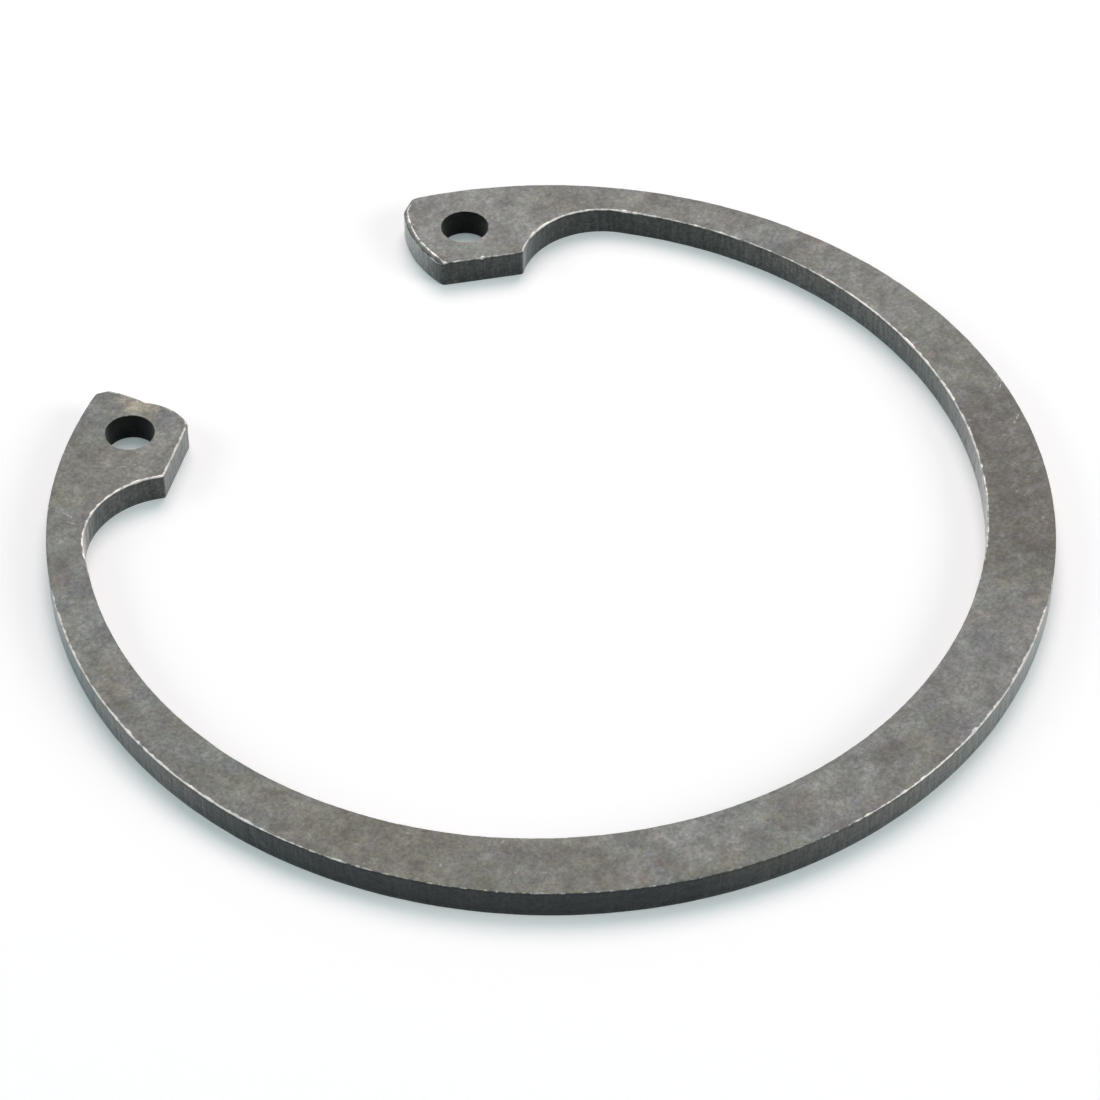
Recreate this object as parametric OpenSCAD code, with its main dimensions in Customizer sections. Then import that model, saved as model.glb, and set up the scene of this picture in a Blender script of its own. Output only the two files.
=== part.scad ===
// Internal retaining ring for a 60 mm bore, drawn free, as it lies out of its groove.
// The ring lies flat with +Z up. +Y points at the gap between its lugs.
// The origin is the centre of the outer rim, half way through the thickness.

/* [Ring] */
// Diameter over the outer rim while the ring is free
free_d = 64.2; // [60:0.1:70]
// Thickness of the steel strip
thick = 2; // [1.2:0.1:3]
// Width of the beam opposite the gap, where it is widest
beam_wide = 4.74; // [4:0.02:5.4]
// Width that the beam tapers towards at the gap's middle line
beam_narrow = 1.82; // [1.4:0.02:2.6]
// Size of the broken edge round every face
edge_break = 0.12; // [0.05:0.01:0.25]

/* [Lugs] */
// Angle from the gap's middle line to the axis of each lug
lug_angle = 31.6; // [26:0.1:40]
// Height of a lug, from the outer rim in to its straight inner edge
lug_height = 7.25; // [6.6:0.05:8]
// Distance from a lug's axis to the corner where its hollow foot starts
lug_foot = 3.35; // [2.6:0.05:4.2]
// Radius of the hollow foot that blends the lug into the beam
foot_r = 5.5; // [4.6:0.1:6.4]
// How far the hollow foot bites into the inner rim where it runs out
foot_bite = 0.02; // [0.01:0.01:0.1]

/* [Plier holes] */
// Diameter of the hole that the pliers' tip enters
hole_d = 3.2; // [2.5:0.1:3.6]
// Distance from the outer rim in to the hole's centre
hole_inset = 3.82; // [3.4:0.02:4.2]
// Size of the broken edge round each hole
hole_break = 0.08; // [0.04:0.01:0.2]

/* [Lug ends] */
// Size of the broken edge along the sheared end of a lug
end_break = 0.22; // [0.1:0.01:0.3]
// Radius of the crown that both lug ends are sheared to
crown_r = 8.4; // [7.6:0.1:10]
// Distance from the hole's centre to the crown of the right lug's end
right_reach = 3.84; // [3.2:0.02:4.6]
// Height of the right crown's centre over the hole's centre, towards the rim
right_lift = 1.5; // [0.8:0.1:2.4]
// Distance from the hole's centre to the crown of the left lug's end
left_reach = 3.5; // [3.3:0.05:3.8]
// Height of the left crown's centre over the hole's centre, towards the rim
left_lift = 2.88; // [2.2:0.02:3.4]
// Radius of the blunt nose that stands proud low on the left lug's end
nose_r = 3.6; // [3.4:0.1:3.8]
// Distance from the hole's centre to the nose's furthest point
nose_reach = 3.06; // [2.98:0.01:3.2]
// How far the nose's centre lies below the hole's centre
nose_drop = 0.62; // [0.4:0.01:0.8]
// Distance from a lug's axis to the corner where the outer rim ends
rim_end = 3; // [2.6:0.05:3.2]
// Angle between a lug's axis and the bevel that cuts off the rim's corner
bevel_angle = 34; // [24:1:44]

/* [Hidden] */

// Facets of a full circle where a shape is shown as a mesh
$fn = 180;
// How far a cutting shape runs past what it cuts
over = 1;

rim_r = free_d / 2;
inner_r = (free_d - beam_wide - beam_narrow) / 2;
// The inner rim is set towards the gap, and this makes the beam taper
inner_shift = (beam_wide - beam_narrow) / 2;
hole_reach = rim_r - hole_inset;
inner_edge = rim_r - lug_height;

// Unit vectors of the right lug: out along its axis, and square to it, away from the gap
axis_out = [sin(lug_angle), cos(lug_angle)];
axis_side = [cos(lug_angle), -sin(lug_angle)];

// The hollow foot passes through the lug's corner and runs out into the inner rim
inner_centre = [0, inner_shift];
foot_corner = inner_edge * axis_out + lug_foot * axis_side;
foot_orbit = inner_r - foot_r + foot_bite;
corner_way = foot_corner - inner_centre;
corner_far = norm(corner_way);
along = (foot_orbit * foot_orbit - foot_r * foot_r + corner_far * corner_far) / (2 * corner_far);
across = sqrt(foot_orbit * foot_orbit - along * along);
corner_dir = corner_way / corner_far;
foot_centre = inner_centre + along * corner_dir + across * [corner_dir[1], -corner_dir[0]];
// Direction, from +X, in which the foot runs out, seen from the inner rim's centre
run_out_angle = atan2(foot_centre[1] - inner_shift, foot_centre[0]);
// How far the foot's centre lies to the side of the lug's axis
foot_side = foot_centre * axis_side;
// Height over the hole's centre of the corner where the outer rim ends
rim_corner = sqrt(rim_r * rim_r - rim_end * rim_end) - hole_reach;

// Section, from the middle out, of a solid with broken edges. It runs on past both faces, narrowing.
function solid_edge(r, chamfer, z = thick / 2 + 2 * over) = [
    [0, -z], [r - chamfer - z + thick / 2, -z], [r, chamfer - thick / 2],
    [r, thick / 2 - chamfer], [r - chamfer - z + thick / 2, z], [0, z]
];

// The same for an opening, which widens at both faces
function opening_edge(r, chamfer, z = thick / 2 + over) = [
    [0, -z], [r + chamfer + z - thick / 2, -z], [r, chamfer - thick / 2],
    [r, thick / 2 - chamfer], [r + chamfer + z - thick / 2, z], [0, z]
];

// Draws a section as a straight bar along +X, its edge towards +Y
module bar(section, length) {
    rotate([90, 0, 90])
        linear_extrude(length)
            polygon(section);
}

// Places what is drawn from the hole's centre, with +Y out along the lug, at the right or left lug
module at_lug(left = false) {
    mirror([left ? 1 : 0, 0, 0])
        rotate([0, 0, -lug_angle])
            translate([0, hole_reach, 0])
                children();
}

// Round plate that the ring is cut from, the edges of its rim broken
module rim_disc() {
    rotate_extrude()
        polygon([
            [0, -thick / 2], [rim_r - edge_break, -thick / 2], [rim_r, edge_break - thick / 2],
            [rim_r, thick / 2 - edge_break], [rim_r - edge_break, thick / 2], [0, thick / 2]
        ]);
}

// Inside of the beam: the inner circle, as far round as the two feet
module beam_opening() {
    translate([0, inner_shift, 0])
        rotate_extrude(angle = 180 + 2 * run_out_angle, start = 180 - run_out_angle)
            polygon(opening_edge(inner_r, edge_break));
}

// Hollow foot of the right lug
module foot_opening() {
    translate([foot_centre[0], foot_centre[1], 0])
        rotate_extrude()
            polygon(opening_edge(foot_r, edge_break));
}

// Space inside a lug's straight inner edge, from past the lug's end to inside its foot
module under_lug() {
    translate([-lug_height, -hole_reach, 0])
        bar(opening_edge(inner_edge, edge_break), lug_height + foot_side - foot_r / 4);
}

// Hole for the pliers' tip
module plier_hole() {
    rotate_extrude()
        polygon(opening_edge(hole_d / 2, hole_break));
}

// Plate that a lug's end is kept of: a wide crown, less the corner that the bevel cuts off
module crowned_end(reach, lift) {
    slab = 3 * crown_r;
    intersection() {
        translate([crown_r - reach, lift, 0])
            rotate_extrude()
                polygon(solid_edge(crown_r, end_break));
        translate([-rim_end, rim_corner, 0])
            rotate([0, 0, 90 - bevel_angle])
                translate([-slab / 2, -slab, 0])
                    bar(solid_edge(slab, end_break), slab);
    }
}

// Blunt nose low on the left lug's end
module nose() {
    translate([nose_r - nose_reach, -nose_drop, 0])
        rotate_extrude()
            polygon(solid_edge(nose_r, end_break));
}

// Gap between the axes of the two lugs, less what the lugs keep of it
module gap_opening() {
    far = 2 * rim_r;
    difference() {
        translate([0, 0, -thick / 2 - over])
            linear_extrude(thick + 2 * over)
                polygon([[0, 0], far * axis_out, far * [-axis_out[0], axis_out[1]]]);
        at_lug()
            crowned_end(right_reach, right_lift);
        at_lug(left = true)
            crowned_end(left_reach, left_lift);
        at_lug(left = true)
            nose();
    }
}

module retaining_ring() {
    color("#605f5a")
        difference() {
            rim_disc();
            beam_opening();
            gap_opening();
            for (left = [false, true]) {
                mirror([left ? 1 : 0, 0, 0])
                    foot_opening();
                at_lug(left)
                    under_lug();
                at_lug(left)
                    plier_hole();
            }
        }
}

retaining_ring();
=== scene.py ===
"""Looks of the retaining ring: matt phosphated spring steel, worn bright along its edges.

The ring's visible mesh is built here at photo detail over the CAD part's own outline. Its sizes are in
millimetres, and the mesh is scaled to metres in the CAD frame. The ring lies flat on a white table, +Z up,
+Y towards the gap between its lugs.
"""

import math

import bpy
import numpy as np
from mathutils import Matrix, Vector
from mathutils.geometry import delaunay_2d_cdt


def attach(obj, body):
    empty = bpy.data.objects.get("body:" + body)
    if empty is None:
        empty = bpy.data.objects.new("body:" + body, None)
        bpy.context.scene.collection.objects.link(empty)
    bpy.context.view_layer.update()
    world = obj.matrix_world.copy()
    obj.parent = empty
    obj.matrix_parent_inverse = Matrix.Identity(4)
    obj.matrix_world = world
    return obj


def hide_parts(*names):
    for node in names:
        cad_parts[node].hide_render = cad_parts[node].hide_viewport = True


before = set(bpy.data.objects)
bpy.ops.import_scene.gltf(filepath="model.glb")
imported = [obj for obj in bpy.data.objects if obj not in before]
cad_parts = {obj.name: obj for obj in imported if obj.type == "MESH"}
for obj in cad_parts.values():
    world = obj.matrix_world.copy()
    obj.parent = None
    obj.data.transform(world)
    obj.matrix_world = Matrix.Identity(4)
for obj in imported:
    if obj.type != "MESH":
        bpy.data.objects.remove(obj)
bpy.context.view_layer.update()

MM = 0.001

# The part's own sizes
RIM_R = 32.1
THICK = 2.0
BEAM_WIDE = 4.74  # opposite the gap
BEAM_NARROW = 1.82  # what the beam tapers towards, at the gap
LUG_ANGLE = math.radians(31.6)  # from +Y to a lug's axis
LUG_HEIGHT = 7.25  # from the rim in to a lug's straight inner edge
LUG_FOOT = 3.35  # from a lug's axis to the corner where its hollow foot starts
FOOT_R = 5.5
FOOT_BITE = 0.02  # how far the foot bites into the inner rim where it runs out
HOLE_R = 1.6
HOLE_INSET = 3.82  # from the rim in to a hole's middle
HOLE_REACH = RIM_R - HOLE_INSET
CROWN_R = 8.4  # crown that each lug's end is sheared to
RIGHT_CROWN = (3.84, 1.5)  # its reach from the hole's middle, and its centre's lift over that
LEFT_CROWN = (3.5, 2.88)
NOSE_R = 3.6  # blunt nose low on the left lug's end
NOSE_REACH = 3.06
NOSE_DROP = 0.62
RIM_END = 3.0  # from a lug's axis to the corner where the rim ends
BEVEL_ANGLE = math.radians(34)  # between a lug's axis and the bevel that cuts off the rim's corner
INNER_R = RIM_R - (BEAM_WIDE + BEAM_NARROW) / 2
INNER_SHIFT = (BEAM_WIDE - BEAM_NARROW) / 2

# How finely the outline is followed, and how softly its corners and the changes in its wear are rounded
STEP = 0.12
CORNER_SOFT = 0.12
WEAR_SOFT = 0.35
# The shallow hollow between the crown and the nose of the left lug's end: its middle, width and softness
LEFT_HOLLOW = (-11.7, 24.6)
HOLLOW_WIDE = 0.5
HOLLOW_SOFT = 0.35
# How far the whole visible skin lies inside the CAD part's own, so that it stays within the CAD box
SKIN = 0.012
# The rim's end at the left lug was drawn in as the blank was sheared: how far, from which direction over how
# many degrees, how sharply it bends in, and from which radius outwards
TIP_DRAW = 0.36
TIP_START = 137
TIP_SPAN = 22
TIP_BEND = 1.3
TIP_INNER_R = 26
# How far an edge may move in at a corner, as a share of the corner's radius. The sharpest turn counts
# among so many points to either side, softened over a length, and a flatter turn than the least is none.
TURN_SHARE = 0.7
TURN_POINTS = 5
TURN_SOFT = 0.1
TURN_LEAST = 1e-3

# How bright each edge of a lug is worn, from 0 to 1: its sheared end, its straight inner edge and its foot
RIGHT_WEAR = (0.75, 0.6, 0.95)
LEFT_WEAR = (0.6, 1.0, 1.0)
# How widely the edge of a lug's sheared end is broken, from 0 to 1
RIGHT_BREAK = 1.0
LEFT_BREAK = 0.35
# How bright the outer and the inner rim's edges are, by the direction from its centre in degrees from +X:
# partly real wear and partly a painted highlight, strong where an edge faces sideways and faint where it
# faces the camera
RIM_WEAR_AND_GLINT = (
    (115, 0.2), (146, 0.25), (153, 0.95), (190, 0.95), (208, 0.55), (235, 0.4),
    (256, 0.45), (267, 0.9), (299, 1.0), (307, 0.2), (425, 0.2),
)
BORE_WEAR_AND_GLINT = ((-214, 1.0), (-203, 0.1), (-62, 0.1), (-52, 0.9), (-30, 1.0), (-4, 0.95), (12, 0.75), (40, 0.85))


# Outline

def point(x, y):
    return np.array([x, y], float)


def nearest(spots, near):
    """The one of several points that lies nearest to a point."""
    return min(spots, key=lambda spot: np.hypot(*(spot - near)))


def meet_circles(c1, r1, c2, r2, near):
    """Where two circles cross, at the crossing nearest to a point."""
    way = c2 - c1
    far = np.hypot(*way)
    along = (r1 * r1 - r2 * r2 + far * far) / (2 * far)
    across = math.sqrt(max(r1 * r1 - along * along, 0))
    foot = c1 + way / far * along
    side = point(-way[1], way[0]) / far * across
    return nearest((foot + side, foot - side), near)


def meet_line(c, r, start, way, near):
    """Where a line crosses a circle, at the crossing nearest to a point."""
    way = way / np.hypot(*way)
    along = np.dot(c - start, way)
    half = math.sqrt(max(r * r - np.sum((start + way * along - c) ** 2), 0))
    return nearest((start + way * (along + half), start + way * (along - half)), near)


def arc(c, start, end, turn):
    """Points of an arc about c from start up to end, turning left (+1) or right (-1)."""
    r = np.hypot(*(start - c))
    a = math.atan2(*(start - c)[::-1])
    sweep = (turn * (math.atan2(*(end - c)[::-1]) - a)) % (2 * math.pi)
    n = max(2, int(sweep * r / STEP))
    t = a + turn * np.linspace(0, sweep, n, endpoint=False)
    return c + r * np.stack([np.cos(t), np.sin(t)], 1)


def line(start, end):
    """Points of a straight line from start up to end."""
    n = max(2, int(np.hypot(*(end - start)) / STEP))
    return start + (end - start) * np.linspace(0, 1, n, endpoint=False)[:, None]


def worn(points, wear, end=0):
    """Adds how bright the edge is worn, which along the rims is partly a painted highlight, and how widely it
    is broken as part of a lug's sheared end.
    """
    n = len(points)
    return np.column_stack([points, np.broadcast_to(wear, n), np.full(n, end)])


def wear_round(points, centre, stops):
    """Adds the wear of a rim's points, with its painted highlight, by their direction from a centre."""
    angles, levels = zip(*stops)
    turn = np.degrees(np.arctan2(points[:, 1] - centre[1], points[:, 0] - centre[0]))
    turn = angles[0] + (turn - angles[0]) % 360
    return worn(points, np.interp(turn, angles, levels))


def foot_circle(foot_corner, inner_c):
    """Centre of the hollow foot that starts in a lug's corner, and where it runs out in the inner rim."""
    way = foot_corner - inner_c
    far = np.hypot(*way)
    orbit = INNER_R - FOOT_R + FOOT_BITE
    along = (orbit**2 - FOOT_R**2 + far**2) / (2 * far)
    across = math.sqrt(orbit**2 - along**2)
    foot_c = inner_c + way / far * along + point(way[1], -way[0]) / far * across
    beyond = inner_c + (foot_c - inner_c) / orbit * INNER_R
    return foot_c, meet_circles(inner_c, INNER_R, foot_c, FOOT_R, beyond + point(1, -1))


def lug_outline(crown, nose, wear, broken):
    """The right-hand lug from where the rim ends to where the foot runs out, and those two corners."""
    out = point(math.sin(LUG_ANGLE), math.cos(LUG_ANGLE))
    side = point(out[1], -out[0])

    def at(x, y):
        return HOLE_REACH * out + x * side + y * out

    # The last point given to meet_line and meet_circles only says which of two crossings is meant
    reach, lift = crown
    crown_c = at(CROWN_R - reach, lift)
    rim_end = at(-RIM_END, math.sqrt(RIM_R**2 - RIM_END**2) - HOLE_REACH)
    bevel = at(-math.sin(BEVEL_ANGLE), -math.cos(BEVEL_ANGLE)) - at(0, 0)
    bevel_end = meet_line(crown_c, CROWN_R, rim_end, bevel, at(-reach, 2))
    edge_y = RIM_R - LUG_HEIGHT - HOLE_REACH
    foot_corner = at(LUG_FOOT, edge_y)
    foot_c, run_out = foot_circle(foot_corner, point(0, INNER_SHIFT))
    end_wear, edge_wear, foot_wear = wear
    parts = [worn(line(rim_end, bevel_end), end_wear, broken)]
    if nose:
        nose_c = at(NOSE_R - NOSE_REACH, -NOSE_DROP)
        notch = meet_circles(crown_c, CROWN_R, nose_c, NOSE_R, at(-NOSE_REACH, 0.6))
        edge_start = meet_line(nose_c, NOSE_R, foot_corner, side, at(-1.6, edge_y))
        parts += [worn(arc(crown_c, bevel_end, notch, 1), end_wear, broken)]
        parts += [worn(arc(nose_c, notch, edge_start, 1), end_wear, broken)]
    else:
        edge_start = meet_line(crown_c, CROWN_R, foot_corner, side, at(-2.2, edge_y))
        parts += [worn(arc(crown_c, bevel_end, edge_start, 1), end_wear, broken)]
    parts += [worn(line(edge_start, foot_corner), edge_wear)]
    parts += [worn(arc(foot_c, foot_corner, run_out, -1), foot_wear)]
    return np.concatenate(parts), rim_end, run_out


def mirrored(points):
    """The same points or rows with X turned round."""
    return points * np.array([-1] + [1] * (np.shape(points)[-1] - 1))


def ring_outline():
    """The whole outline, turning left round the steel: rows of x, y, wear and end break."""
    right, right_rim, right_out = lug_outline(RIGHT_CROWN, False, RIGHT_WEAR, RIGHT_BREAK)
    left, left_rim, left_out = lug_outline(LEFT_CROWN, True, LEFT_WEAR, LEFT_BREAK)
    inner_c = point(0, INNER_SHIFT)
    rim = wear_round(arc(point(0, 0), mirrored(left_rim), right_rim, 1), (0, 0), RIM_WEAR_AND_GLINT)
    inner = wear_round(arc(inner_c, right_out, mirrored(left_out), -1), inner_c, BORE_WEAR_AND_GLINT)
    loop = even_loop(np.concatenate([rim, right, inner, mirrored(left[::-1])]))
    loop[:, :2] = draw_in_tip(loop[:, :2])
    return loop


def even_loop(loop):
    """The same loop with its points spaced evenly."""
    closed = np.vstack([loop, loop[:1]])
    run = np.concatenate([[0], np.cumsum(np.hypot(*np.diff(closed[:, :2], axis=0).T))])
    n = int(run[-1] / STEP)
    want = np.linspace(0, run[-1], n, endpoint=False)
    return np.stack([np.interp(want, run, column) for column in closed.T], 1)


def direction(loop):
    """Direction of each point from the ring's middle, in degrees from +X."""
    return np.degrees(np.arctan2(loop[:, 1], loop[:, 0])) % 360


def draw_in_tip(loop):
    """Pulls the rim in towards the left lug's tip, as the shear left it."""
    angle = direction(loop)
    radius = np.hypot(*loop.T)
    near = np.clip((TIP_START - angle) / TIP_SPAN, 0, 1) * (angle > 90)
    depth = np.clip((radius - TIP_INNER_R) / (RIM_R - TIP_INNER_R), 0, 1)
    return loop * (1 - TIP_DRAW * near**TIP_BEND * depth / RIM_R)[:, None]


def soften(values, length):
    """Smooths values round a closed loop over a length in millimetres."""
    n = len(values)
    freq = np.fft.fftfreq(n, STEP)
    gain = np.exp(-2 * (math.pi * freq * length) ** 2)
    shape = (n,) + (1,) * (values.ndim - 1)
    return np.fft.ifft(np.fft.fft(values, axis=0) * gain.reshape(shape), axis=0).real


def loop_noise(n, seed, length):
    """Smooth noise of unit size round a closed loop."""
    noise = soften(np.random.default_rng(seed).standard_normal(n), length)
    return noise / noise.std()


def outward(loop):
    """Unit normals that point away from the steel, for a loop that turns left round it."""
    way = np.roll(loop, -1, 0) - np.roll(loop, 1, 0)
    way /= np.hypot(*way.T)[:, None]
    return np.stack([way[:, 1], -way[:, 0]], 1)


def inset_limit(loop):
    """How far each point of a loop can move in before the loop would fold over itself at a corner."""
    way = outward(loop)
    turn = np.roll(way, -1, 0) - np.roll(way, 1, 0)
    step = np.hypot(*(np.roll(loop, -1, 0) - np.roll(loop, 1, 0)).T)
    tangent = np.stack([-way[:, 1], way[:, 0]], 1)
    bulge = np.sum(turn * tangent, 1) / step
    sharpest = np.max([np.roll(bulge, k) for k in range(-TURN_POINTS, TURN_POINTS + 1)], axis=0)
    return TURN_SHARE / np.maximum(soften(sharpest, TURN_SOFT), TURN_LEAST)


# Mesh

# Materials of the mesh, by their index
FACE, WALL, HOLE = 0, 1, 2

# Loops across a rolled edge and down a sheared wall
ROLL_STEPS = 4
WALL_STEPS = 7

# Width of the rolled top edge and of the lower edge, how much wider each is on a sheared end, and its limits
TOP_ROLL, TOP_END, TOP_LIMITS = 0.06, 0.2, (0.03, 0.3)
LOW_ROLL, LOW_END, LOW_LIMITS = 0.05, 0.05, (0.03, 0.2)
HOLE_TOP, HOLE_LOW = 0.045, 0.06
# How much wider the top edge is where its wear and painted highlight are brightest, and where it is chipped
RUBBED_ROLL = 0.05
CHIP = 0.06
# How far the edges wander in width
WANDER = 0.01
HOLE_WANDER = 0.008
# How far past its edge break each face is rubbed, above and below, and at most so many times its limit
TOP_RUB = 0.1
LOW_RUB = 0.16
RUB_LIMIT = 1.1
# How far the sheared wall lies in from the edges, and how deep its striations and its torn lower part are
WALL_INSET = 0.004
STRIA_DEPTH = 0.008
PIT_DEPTH = 0.01
TORN_DEPTH = 0.03
TORN_FROM = 0.45
# How bright the holes' edges are worn, and how rough their walls are beside the outline's
HOLE_WEAR = 0.25
HOLE_GRAIN = 0.5
# The front of the rim is chipped: the direction of its middle, the degrees to either side, and how many of
# them the chips fade over. What lies this close to the rim's radius is the rim.
CHIPPED_FRONT, CHIPPED_SPAN, CHIPPED_FADE = 248, 45, 10
RIM_BAND = 0.5
# The right lug's inner edge is chipped too: its least and most x, its least y, and its depth from the rim
CHIPPED_LUG = (9, 17, 19, 5)
# Points of a flat face that lie closer than this are one point
CLOSE = 1e-7


def edge_loops(loop, top_roll, low_roll, rubbed_and_glint, end, seed, grain):
    """Loops from the top face's edge down over the rolled edge, the sheared wall and the lower edge.

    Gives a list of (points xyz, wear, wall) whose first and last loops lie in the two faces. The wear, which
    is partly a painted highlight, is brightest along an ordinary edge's middle, and along the two borders of
    a sheared end's wide break.
    """
    n = len(loop)
    out = outward(loop)
    limit = inset_limit(loop)
    top = np.minimum(top_roll, limit)
    low = np.minimum(low_roll, limit)
    half = THICK / 2
    rows = []

    def add(inset, z, wear, wall):
        xy = loop - out * np.broadcast_to(inset + SKIN, n)[:, None]
        points = np.column_stack([xy, np.broadcast_to(z, n)])
        rows.append((points, np.broadcast_to(wear, n), np.broadcast_to(wall, n)))

    add(np.minimum(top + TOP_RUB, limit * RUB_LIMIT), half, 0, 0)
    for k in range(ROLL_STEPS + 1):
        a = math.pi / 2 * k / ROLL_STEPS
        middle = math.sin(2 * a)
        wear = rubbed_and_glint * ((1 - end) * (0.6 + 0.4 * middle) + end * (1 - 0.85 * middle))
        add(top * (1 - math.sin(a)), half - top * (1 - math.cos(a)), wear, k / ROLL_STEPS)
    striae = loop_noise(n, seed, 0.1)
    for k in range(1, WALL_STEPS):
        f = k / WALL_STEPS
        pits = PIT_DEPTH * loop_noise(n, seed + k, 0.14)
        bite = grain * (STRIA_DEPTH * striae + pits) * math.sin(math.pi * f) ** 0.5
        torn = TORN_DEPTH * grain * max(0, f - TORN_FROM)
        add(np.maximum(bite + torn, 0) + WALL_INSET, half - top - (THICK - top - low) * f, 0, 1)
    for k in range(ROLL_STEPS + 1):
        f = 1 - k / ROLL_STEPS
        a = math.pi / 2 * f
        add(low * (1 - math.sin(a)), -half + low * (1 - math.cos(a)), rubbed_and_glint * math.sin(2 * a), f)
    add(np.minimum(low + LOW_RUB, limit * RUB_LIMIT), -half, 0, 0)
    return rows


def chipped(loop):
    """How chipped the edge is, from 0 to 1: along the front of the rim and the right lug's inner edge."""
    x, y = loop.T
    radius = np.hypot(x, y)
    front = np.clip((CHIPPED_SPAN - abs(direction(loop) - CHIPPED_FRONT)) / CHIPPED_FADE, 0, 1)
    least_x, most_x, least_y, depth = CHIPPED_LUG
    lug = (x > least_x) * (x < most_x) * (y > least_y) * (radius < RIM_R - depth)
    return np.maximum(front * (radius > RIM_R - RIM_BAND), lug)


def outline_wall():
    """The loops of the ring's own edge, its corners rounded and its edge breaks uneven."""
    outline = ring_outline()
    n = len(outline)
    loop = soften(outline[:, :2], CORNER_SOFT)
    smooth = soften(outline[:, :2], HOLLOW_SOFT)
    hollow = np.exp(-np.sum((loop - LEFT_HOLLOW) ** 2, 1) / (2 * HOLLOW_WIDE**2))[:, None]
    loop = loop + (smooth - loop) * hollow
    rubbed_and_glint, end = soften(outline[:, 2:], WEAR_SOFT).T
    end = np.clip(end, 0, 1)
    # Chips come where a fine noise stands out, and the bright edge widens over the top fifth of its wear and
    # painted highlight
    chips = CHIP * np.clip(loop_noise(n, 6, 0.16) - 1.2, 0, 2) * chipped(loop)
    top = TOP_ROLL + WANDER * loop_noise(n, 3, 0.5) + WANDER * loop_noise(n, 4, 0.12) + chips + TOP_END * end
    top = top + RUBBED_ROLL * np.clip(rubbed_and_glint * 5 - 4, 0, 1) * (1 - end)
    low = LOW_ROLL + WANDER * loop_noise(n, 5, 0.5) + LOW_END * end
    return edge_loops(loop, np.clip(top, *TOP_LIMITS), np.clip(low, *LOW_LIMITS), rubbed_and_glint, end, 11, 1.0)


def hole_wall(side, seed):
    """The loops of a plier hole, right (+1) or left (-1). They turn right, with the steel to their left."""
    c = HOLE_REACH * point(side * math.sin(LUG_ANGLE), math.cos(LUG_ANGLE))
    n = int(2 * math.pi * HOLE_R / STEP)
    t = -np.linspace(0, 2 * math.pi, n, endpoint=False)
    hole = c + HOLE_R * np.stack([np.cos(t), np.sin(t)], 1)
    top = HOLE_TOP + HOLE_WANDER * loop_noise(n, seed, 0.25)
    return edge_loops(hole, top, np.full(n, HOLE_LOW), HOLE_WEAR, 0, seed, HOLE_GRAIN)


class Skin:
    """Gathers one mesh: points, each with a wear value that also carries a painted highlight and a wall
    value, and faces, each with a material.
    """

    def __init__(self):
        self.points, self.wear, self.wall = [], [], []
        self.faces, self.material = [], []
        self.top_rims, self.low_rims = [], []

    def add_wall(self, rows, material):
        """Joins each loop of a wall to the next. Only the sheared part takes the wall's material."""
        size = len(rows[0][0])
        first = len(self.points)
        for points, wear, wall in rows:
            self.points.extend(points.tolist())
            self.wear.extend(wear.tolist())
            self.wall.extend(wall.tolist())
        for r in range(len(rows) - 1):
            a, b = first + r * size, first + (r + 1) * size
            for i in range(size):
                j = (i + 1) % size
                self.faces.append((a + i, b + i, b + j, a + j))
            sheared = min(rows[r][2][0], rows[r + 1][2][0]) == 1
            self.material += [material if sheared else FACE] * size
        last = len(self.points) - size
        self.top_rims.append(list(range(first, first + size)))
        self.low_rims.append(list(range(last, last + size)))

    def add_cap(self, rims, up):
        """Fills a flat face with triangles, inside the outline's loop and outside the two hole loops."""
        index = [i for rim in rims for i in rim]
        spots = [Vector(self.points[i][:2]) for i in index]
        edges, first = [], 0
        for rim in rims:
            size = len(rim)
            edges += [(first + i, first + (i + 1) % size) for i in range(size)]
            first += size
        # Kind 0 gives triangles over the whole hull, and the ones that aren't steel are left out below
        made, _, triangles, origin, _, _ = delaunay_2d_cdt(spots, edges, [], 0, CLOSE)
        outline, *holes = [np.array([self.points[i][:2] for i in rim]) for rim in rims]
        for triangle in triangles:
            middle = sum((np.array(made[i]) for i in triangle), np.zeros(2)) / 3
            if inside(middle, outline) and not any(inside(middle, hole) for hole in holes):
                ids = [index[origin[i][0]] for i in triangle]
                self.faces.append(tuple(ids if up else ids[::-1]))
                self.material.append(FACE)

    def make(self, name):
        """Makes the Blender object, with its place in its mesh."""
        mesh = bpy.data.meshes.new(name)
        mesh.from_pydata((np.array(self.points) * MM).tolist(), [], self.faces)
        mesh.update()
        for attribute, values in (("wear", self.wear), ("wall", self.wall)):
            mesh.attributes.new(attribute, "FLOAT", "POINT").data.foreach_set("value", values)
        mesh.polygons.foreach_set("use_smooth", [True] * len(mesh.polygons))
        mesh.polygons.foreach_set("material_index", self.material)
        made = bpy.data.objects.new(name, mesh)
        bpy.context.scene.collection.objects.link(made)
        return made


def inside(spot, loop):
    """Whether a point lies inside a closed loop."""
    x, y = spot
    ax, ay = loop.T
    bx, by = np.roll(loop, -1, 0).T
    cross = (ay > y) != (by > y)
    at = ax[cross] + (y - ay[cross]) / (by[cross] - ay[cross]) * (bx[cross] - ax[cross])
    return int(np.sum(at > x)) % 2 == 1


def steel_ring():
    """The ring as one closed mesh with two attributes: the edges' wear with its painted highlight, and the
    wall.
    """
    skin = Skin()
    skin.add_wall(outline_wall(), WALL)
    skin.add_wall(hole_wall(1, 31), HOLE)
    skin.add_wall(hole_wall(-1, 51), HOLE)
    skin.add_cap(skin.top_rims, True)
    skin.add_cap(skin.low_rims, False)
    return skin.make("ring_steel")


# Material

# How far apart the noises of two seeds are taken, in x, y and z, so that they don't look alike
SEED_SHIFT = (37.0, 11.0, 53.0)


def grey(level):
    return (level, level, level, 1)


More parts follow.
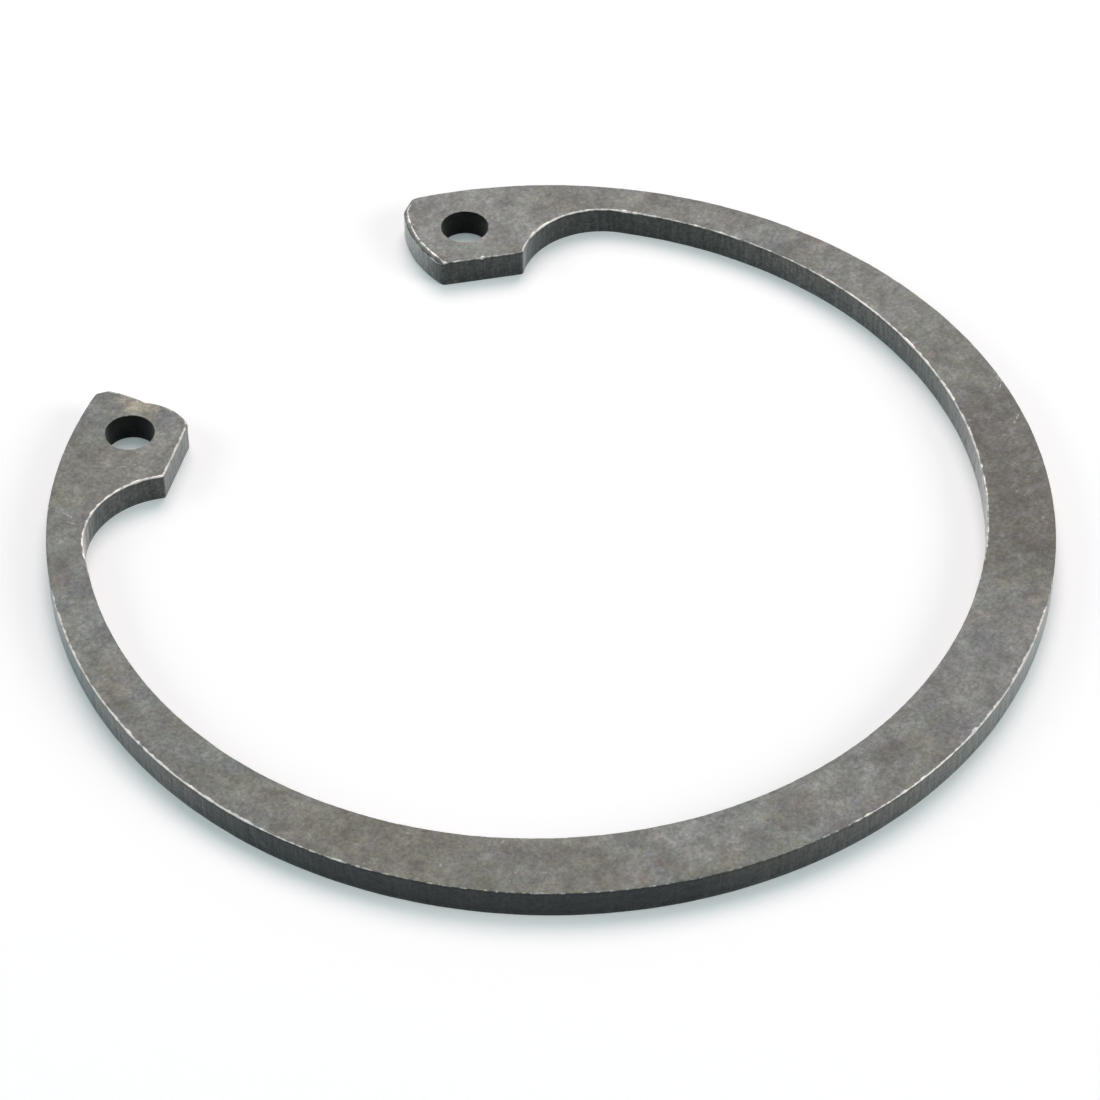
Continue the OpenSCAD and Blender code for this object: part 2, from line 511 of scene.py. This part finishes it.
class Paint:
    """Builds a material's nodes with short calls. A value is a number, a colour or another node's output."""

    def __init__(self, name, roughness):
        self.mat = bpy.data.materials.new(name)
        self.mat.use_nodes = True
        self.tree = self.mat.node_tree
        self.shader = self.tree.nodes["Principled BSDF"]
        self.shader.inputs["Roughness"].default_value = roughness
        spot = self.add("ShaderNodeTexCoord").outputs["Object"]
        self.spot = self.vector("SCALE", spot, Scale=1 / MM)

    def add(self, kind, values=None, **settings):
        node = self.tree.nodes.new(kind)
        for key, value in settings.items():
            setattr(node, key, value)
        for key, value in (values or {}).items():
            self.feed(node.inputs[key], value)
        return node

    def feed(self, socket, value):
        if isinstance(value, bpy.types.NodeSocket):
            self.tree.links.new(value, socket)
        else:
            socket.default_value = value

    def vector(self, operation, a, b=(0, 0, 0), out="Vector", **values):
        return self.add("ShaderNodeVectorMath", {0: a, 1: b, **values}, operation=operation).outputs[out]

    def math(self, operation, a, b=0.0):
        return self.add("ShaderNodeMath", {0: a, 1: b}, operation=operation).outputs[0]

    def attribute(self, name):
        return self.add("ShaderNodeAttribute", attribute_name=name).outputs["Fac"]

    def noise(self, per_mm, detail=3.0, rough=0.5, seed=0.0, stretch=(1, 1, 1)):
        """Noise whose features are about 1 / per_mm millimetres wide."""
        spot = self.vector("MULTIPLY", self.spot, stretch)
        spot = self.vector("ADD", spot, tuple(seed * shift for shift in SEED_SHIFT))
        values = {"Vector": spot, "Scale": per_mm, "Detail": detail, "Roughness": rough}
        return self.add("ShaderNodeTexNoise", values).outputs["Fac"]

    def ramp(self, value, low, high, start=0.0, end=1.0):
        """Goes smoothly from start to end while the value goes from low to high."""
        values = {"Value": value, "From Min": low, "From Max": high, "To Min": start, "To Max": end}
        return self.add("ShaderNodeMapRange", values, interpolation_type="SMOOTHSTEP").outputs["Result"]

    def mix(self, factor, a, b):
        """Goes from colour a to colour b, which are the node's sockets 6 and 7."""
        return self.add("ShaderNodeMix", {0: factor, 6: a, 7: b}, data_type="RGBA").outputs[2]

    def tone(self, colour, amount):
        """Makes a colour lighter or darker."""
        return self.vector("SCALE", colour, Scale=amount)

    def blot(self, x, y, radius, edge=0.4):
        """A soft round patch on the steel, with an uneven border."""
        away = self.vector("SUBTRACT", self.spot, (x, y, 0))
        away = self.vector("MULTIPLY", away, (1 / radius, 1 / radius, 0))
        far = self.vector("LENGTH", away, out="Value")
        uneven = self.ramp(self.noise(1.6 / radius, 4, 0.6, x), 0.2, 0.8, -edge, edge)
        return self.ramp(self.math("ADD", far, uneven), 0.35, 1.1, 1.0, 0.0)

    def scratch(self, x, y, turn, length, width):
        """A fine straight mark, with its direction in degrees from +X."""
        a = math.radians(turn)
        away = self.vector("SUBTRACT", self.spot, (x, y, 0))
        lengthwise = (math.cos(a) * 2 / length, math.sin(a) * 2 / length, 0)
        crosswise = (-math.sin(a) * 2 / width, math.cos(a) * 2 / width, 0)
        along = self.math("POWER", self.vector("DOT_PRODUCT", away, lengthwise, "Value"), 4.0)
        across = self.math("POWER", self.vector("DOT_PRODUCT", away, crosswise, "Value"), 2.0)
        return self.ramp(self.math("ADD", along, across), 0.5, 1.3, 1.0, 0.0)

    def bump(self, height, microns):
        node = self.add("ShaderNodeBump", {"Height": height, "Distance": microns * 1e-6, "Strength": 1.0})
        self.feed(self.shader.inputs["Normal"], node.outputs["Normal"])


# Colours of the phosphate coat: its two greys, then what tints them in patches and in fine mottling
WARM_GREY = (0.178, 0.180, 0.157, 1)
COOL_GREY = (0.163, 0.177, 0.165, 1)
OLIVE = (0.147, 0.152, 0.118, 1)
BROWN = (0.176, 0.156, 0.130, 1)
BLUE = (0.150, 0.164, 0.176, 1)
PINKISH = (0.172, 0.158, 0.170, 1)
GREENISH = (0.150, 0.166, 0.140, 1)
# Its faint green cast, over every stain
GREEN_CAST = (0.985, 1.012, 0.995)
# What shows on and beside it: pale flecks, scratches, the dark turn of an edge and the rubbed steel, which
# also paints the edges' highlight
FLECK = grey(0.34)
SCRATCH = grey(0.42)
EDGE_TURN = (0.02, 0.023, 0.024, 1)
BARE_STEEL_AND_GLINT = (0.58, 0.58, 0.55, 1)

# Stains on the faces that the photograph shows, and patches of painted light and shade, in the ring's
# millimetres: x, y, radius, strength, colour
STAINS_AND_LIGHT_PATCHES = (
    # Painted shade: these two darken the faces towards +X and -Y
    (21.5, -21.0, 7.5, 1.0, (0.098, 0.092, 0.075, 1)),
    (26.0, -14.5, 6.5, 0.9, (0.110, 0.107, 0.092, 1)),
    (-26.5, -13.0, 7.0, 0.8, (0.142, 0.135, 0.106, 1)),
    (-20.5, -21.5, 5.0, 0.6, (0.150, 0.142, 0.112, 1)),
    (-12.0, -25.8, 3.2, 0.85, (0.230, 0.240, 0.232, 1)),
    (11.8, -27.6, 4.0, 0.6, (0.195, 0.196, 0.198, 1)),
    (-3.0, -28.3, 5.0, 0.7, (0.205, 0.208, 0.197, 1)),
    (-12.5, 26.0, 2.0, 0.95, (0.400, 0.358, 0.284, 1)),
    (13.0, 26.0, 1.8, 0.7, (0.240, 0.240, 0.222, 1)),
    (-26.6, 11.8, 2.6, 0.7, (0.190, 0.202, 0.204, 1)),
    (-30.2, 7.0, 1.4, 0.6, (0.165, 0.140, 0.118, 1)),
    (0.5, -29.2, 1.5, 0.8, (0.105, 0.102, 0.088, 1)),
    # Painted light: these three lighten the faces towards +X and +Y
    (25.5, 19.0, 7.5, 0.6, (0.210, 0.211, 0.199, 1)),
    (29.8, 1.0, 5.0, 0.7, (0.208, 0.208, 0.196, 1)),
    (16.0, 24.0, 6.5, 0.8, (0.230, 0.232, 0.220, 1)),
    (-14.5, 22.0, 2.6, 0.7, (0.220, 0.218, 0.205, 1)),
    (-19.0, 22.3, 3.0, 0.6, (0.152, 0.152, 0.138, 1)),
    # Painted light: this one lightens the faces towards +X
    (29.4, 11.0, 3.0, 0.6, (0.212, 0.212, 0.200, 1)),
    (7.0, -29.0, 5.0, 0.5, (0.178, 0.180, 0.186, 1)),
    (-38.0, -1.0, 10.0, 0.9, (0.134, 0.141, 0.134, 1)),
)

# Light scratches: x, y, direction, length, width
SCRATCHES = (
    (29.6, -11.75, 35, 1.0, 0.07),
    (29.9, -11.2, 50, 0.6, 0.06),
    (27.9, -14.7, 20, 1.1, 0.07),
    (-22.6, 20.8, 100, 1.0, 0.07),
    (-22.9, 20.2, 115, 0.7, 0.06),
    (-17.0, 21.8, 150, 1.4, 0.06),
)

# Sheared walls: their colour along the rim, a lighter one inside the ring that is painted light, their
# patches' tint, and the holes' near-black colour, which is painted shade
RIM_WALL = (0.009, 0.012, 0.013, 1)
LIT_BORE_WALL = (0.052, 0.056, 0.053, 1)
WALL_PATCH = (0.030, 0.030, 0.026, 1)
# Painted shade: the holes' walls are near black for the shade inside them
SHADED_HOLE_WALL = grey(0.006)
# Radii between which the walls go from the inside's painted lighter colour to the rim's
WALL_CHANGE = (RIM_R - 1.1, RIM_R - 0.5)
# Painted light: stretches of the walls painted lighter where more light falls on them: x, y, radius, colour
LIT_WALL_PATCHES = (
    (19.0, -28.0, 33.0, (0.112, 0.102, 0.088, 1)),
    (-33.0, 2.5, 8.0, (0.080, 0.066, 0.058, 1)),
    (11.0, 26.2, 3.4, (0.215, 0.213, 0.200, 1)),
    (-18.5, 17.5, 5.0, (0.092, 0.092, 0.086, 1)),
    (30.0, -1.0, 15.0, (0.100, 0.098, 0.090, 1)),
)


def coat_stains_and_light(p):
    """The coat's colour before its mottling: two greys, drifting tints, the stains with patches of painted
    light and shade, and fine spots of tint.
    """
    colour = p.mix(p.ramp(p.noise(0.12, 3), 0.38, 0.62), WARM_GREY, COOL_GREY)
    colour = p.mix(p.ramp(p.noise(0.3, 4, 0.6, 1), 0.47, 0.62, 0, 0.85), colour, OLIVE)
    colour = p.mix(p.ramp(p.noise(0.34, 4, 0.6, 2), 0.52, 0.65, 0, 0.75), colour, BROWN)
    colour = p.mix(p.ramp(p.noise(0.3, 4, 0.6, 3), 0.52, 0.64, 0, 0.8), colour, BLUE)
    # Stains, and patches of painted light and shade where the faces take more or less light
    for x, y, radius, strength, patch_colour in STAINS_AND_LIGHT_PATCHES:
        colour = p.mix(p.math("MULTIPLY", p.blot(x, y, radius), strength), colour, patch_colour)
    tints = p.noise(1.3, 3, 0.6, 9)
    colour = p.mix(p.ramp(tints, 0.5, 0.62, 0, 0.45), colour, PINKISH)
    colour = p.mix(p.ramp(tints, 0.5, 0.38, 0, 0.45), colour, GREENISH)
    return p.vector("MULTIPLY", colour, GREEN_CAST)


def face_steel():
    """The two phosphated faces and the edges rolled over from them: warm grey, mottled and grainy, stained in
    places, with patches of painted light and shade, and bright where rubbed, which along the rims is partly a
    painted highlight.
    """
    p = Paint("phosphated_face", 0.5)
    p.shader.inputs["Specular IOR Level"].default_value = 0.3
    patches = p.noise(0.45, 3, 0.6, 10)
    mottle = p.noise(1.2, 5, 0.72, 4)
    grain = p.noise(4.4, 3, 0.7, 5)
    colour = p.tone(coat_stains_and_light(p), p.ramp(patches, 0.3, 0.7, 0.8, 1.2))
    colour = p.tone(colour, p.ramp(mottle, 0.25, 0.75, 0.7, 1.3))
    colour = p.tone(colour, p.ramp(grain, 0.2, 0.8, 0.63, 1.37))
    fleck = p.math("MULTIPLY", p.ramp(p.noise(3.2, 1, 0.5, 6), 0.68, 0.8), p.ramp(patches, 0.4, 0.65))
    colour = p.mix(fleck, colour, FLECK)
    broken = p.ramp(p.noise(5.0, 1, 0.5, 7), 0.35, 0.55)
    for mark in SCRATCHES:
        colour = p.mix(p.math("MULTIPLY", p.scratch(*mark), broken), colour, SCRATCH)

    colour = p.mix(p.ramp(p.attribute("wall"), 0.3, 1.0), colour, EDGE_TURN)
    # Rubbed steel along the edges: partly real wear and partly a painted highlight
    ragged = p.ramp(p.noise(1.8, 4, 0.65, 8), 0.25, 0.75, -0.4, 0.4)
    rubbed_and_glint = p.ramp(p.math("ADD", p.attribute("wear"), ragged), 0.3, 0.9)
    p.feed(p.shader.inputs["Base Color"], p.mix(rubbed_and_glint, colour, BARE_STEEL_AND_GLINT))
    p.feed(p.shader.inputs["Metallic"], p.math("MULTIPLY", rubbed_and_glint, 0.5))
    p.feed(p.shader.inputs["Roughness"], p.ramp(rubbed_and_glint, 0, 1, 0.52, 0.38))
    p.bump(p.math("ADD", grain, p.math("MULTIPLY", mottle, 2.0)), 12)
    return p.mat


def sheared_steel(name, sheen, painted_light, rim, lit_bore):
    """The sheared walls: dark, slightly blue, with fine striations across the thickness.

    The rough crystals that cover them catch light at a low angle, which the sheen gives. The walls have one
    colour along the rim and a lighter one inside the ring, which is painted light, and the third argument is
    how much their lighter stretches of painted light show.
    """
    p = Paint(name, 0.42)
    p.shader.inputs["Sheen Weight"].default_value = sheen
    p.shader.inputs["Sheen Roughness"].default_value = 0.4
    p.shader.inputs["Specular IOR Level"].default_value = 0.1
    # Painted light: the walls inside the ring are lighter than those along the rim
    far = p.vector("LENGTH", p.vector("MULTIPLY", p.spot, (1, 1, 0)), out="Value")
    colour = p.mix(p.ramp(far, *WALL_CHANGE), lit_bore, rim)
    colour = p.mix(p.ramp(p.noise(0.5, 4, 0.6, 11), 0.4, 0.65, 0, 0.4), colour, WALL_PATCH)
    # Painted light: lighter stretches of wall where more light falls on them
    for x, y, radius, lit_colour in LIT_WALL_PATCHES:
        colour = p.mix(p.math("MULTIPLY", p.blot(x, y, radius, 0.15), painted_light), colour, lit_colour)
    striae = p.noise(4.5, 3, 0.6, 12, stretch=(1, 1, 0.12))
    grain = p.noise(4.0, 3, 0.65, 13)
    colour = p.tone(colour, p.ramp(striae, 0.25, 0.75, 0.68, 1.35))
    colour = p.tone(colour, p.ramp(grain, 0.25, 0.75, 0.5, 1.6))
    p.feed(p.shader.inputs["Base Color"], colour)
    p.bump(p.math("ADD", grain, p.math("MULTIPLY", striae, 1.5)), 25)
    return p.mat


# Setting

# Colours of the light from all round and of the lamps. Together they light the table white.
FILL = (0.5, 0.95, 1.0, 1)
SOFT = (1.0, 0.86, 0.84)
WARM = (1.0, 0.77, 0.77)
COOL = (0.9, 1.0, 1.0)
FILL_STRENGTH = 0.28
# How far the lamps stand from the ring's middle, in metres
LAMP_FAR = 0.9
# Lamps: name, azimuth from +X towards +Y and elevation in degrees, size in metres, power in watts, colour
LAMPS = (
    ("left", 136, 30, 0.5, 1.6, SOFT),
    ("right", 300, 28, 0.5, 2.6, SOFT),
    ("behind", 44, 56, 0.65, 5.05, WARM),
    ("above", 46, 84, 0.5, 0.95, COOL),
)
# The table's width in metres, its grey level, and how much it is whitened where the camera sees it
TABLE_SIZE = 4
TABLE_GREY = 0.95
TABLE_LIFT = 0.135
# Where the photograph was taken from and what it looks at, in millimetres, and its lens for a 36 mm sensor
CAMERA_AT = (-136.765, -143.486, 194.879)
CAMERA_AIM = (-1.147, -1.112, -1.0)
CAMERA_LENS = 142.363


def seen_directly(tree, otherwise, seen):
    """One value for rays from the camera, a reflection or a refraction, and another for the rest."""
    path = tree.nodes.new("ShaderNodeLightPath").outputs
    ray = path["Is Camera Ray"]
    for kind in ("Is Glossy Ray", "Is Transmission Ray"):
        either = tree.nodes.new("ShaderNodeMath")
        either.operation = "MAXIMUM"
        tree.links.new(ray, either.inputs[0])
        tree.links.new(path[kind], either.inputs[1])
        ray = either.outputs[0]
    mix = tree.nodes.new("ShaderNodeMix")
    mix.inputs["A"].default_value = otherwise
    mix.inputs["B"].default_value = seen
    tree.links.new(ray, mix.inputs["Factor"])
    return mix.outputs["Result"]


def white_table():
    """A white floor that the ring lies on. It stays pure white but for the ring's shadow."""
    bpy.ops.mesh.primitive_plane_add(size=TABLE_SIZE, location=(0, 0, -THICK / 2 * MM))
    floor = bpy.context.object
    floor.name = "table"
    mat = bpy.data.materials.new("white_table")
    mat.use_nodes = True
    shader = mat.node_tree.nodes["Principled BSDF"]
    shader.inputs["Base Color"].default_value = grey(TABLE_GREY)
    shader.inputs["Roughness"].default_value = 0.9
    shader.inputs["Specular IOR Level"].default_value = 0.0
    shader.inputs["Emission Color"].default_value = grey(1.0)
    lift = seen_directly(mat.node_tree, 0.0, TABLE_LIFT)
    mat.node_tree.links.new(lift, shader.inputs["Emission Strength"])
    floor.data.materials.append(mat)


def soft_light(name, azimuth, elevation, size, power, colour):
    """A round soft box aimed at the ring."""
    a, e = math.radians(azimuth), math.radians(elevation)
    place = LAMP_FAR * Vector((math.cos(e) * math.cos(a), math.cos(e) * math.sin(a), math.sin(e)))
    data = bpy.data.lights.new(name, "AREA")
    data.shape = "DISK"
    data.size = size
    data.energy = power
    data.color = colour
    light = bpy.data.objects.new(name, data)
    light.location = place
    light.rotation_euler = (-place).to_track_quat("-Z", "Y").to_euler()
    bpy.context.scene.collection.objects.link(light)


def surroundings():
    """Light from all round in the fill's colour. Seen directly, it is plain white."""
    world = bpy.data.worlds.new("studio")
    world.use_nodes = True
    tree = world.node_tree
    back = tree.nodes["Background"]
    tint = tree.nodes.new("ShaderNodeMix")
    tint.data_type = "RGBA"
    tint.inputs[6].default_value = FILL
    tint.inputs[7].default_value = grey(1.0)
    tree.links.new(seen_directly(tree, 0.0, 1.0), tint.inputs[0])
    tree.links.new(tint.outputs[2], back.inputs["Color"])
    tree.links.new(seen_directly(tree, FILL_STRENGTH, 1.0), back.inputs["Strength"])
    bpy.context.scene.world = world


def photo_camera():
    """The photograph's own view, found by fitting the ring's rims, ends and holes."""
    place = Vector(CAMERA_AT) * MM
    aim = Vector(CAMERA_AIM) * MM
    data = bpy.data.cameras.new("photo")
    data.lens = CAMERA_LENS
    data.sensor_width = 36
    data.clip_start = 0.01
    data.clip_end = 20
    cam = bpy.data.objects.new("photo", data)
    cam.location = place
    cam.rotation_euler = (aim - place).to_track_quat("-Z", "Y").to_euler()
    bpy.context.scene.collection.objects.link(cam)
    bpy.context.scene.camera = cam


ring = steel_ring()
ring.data.materials.append(face_steel())
# The walls, with painted light inside the ring and on their lighter stretches
ring.data.materials.append(sheared_steel("phosphated_wall", 1.0, 1.0, RIM_WALL, LIT_BORE_WALL))
# The holes' walls carry a near-black painted shade
ring.data.materials.append(sheared_steel("phosphated_hole", 0.3, 0.0, SHADED_HOLE_WALL, SHADED_HOLE_WALL))
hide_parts("retaining_ring")
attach(ring, "root")

white_table()
surroundings()
for lamp in LAMPS:
    soft_light(*lamp)
photo_camera()
bpy.context.scene.view_settings.view_transform = "Standard"
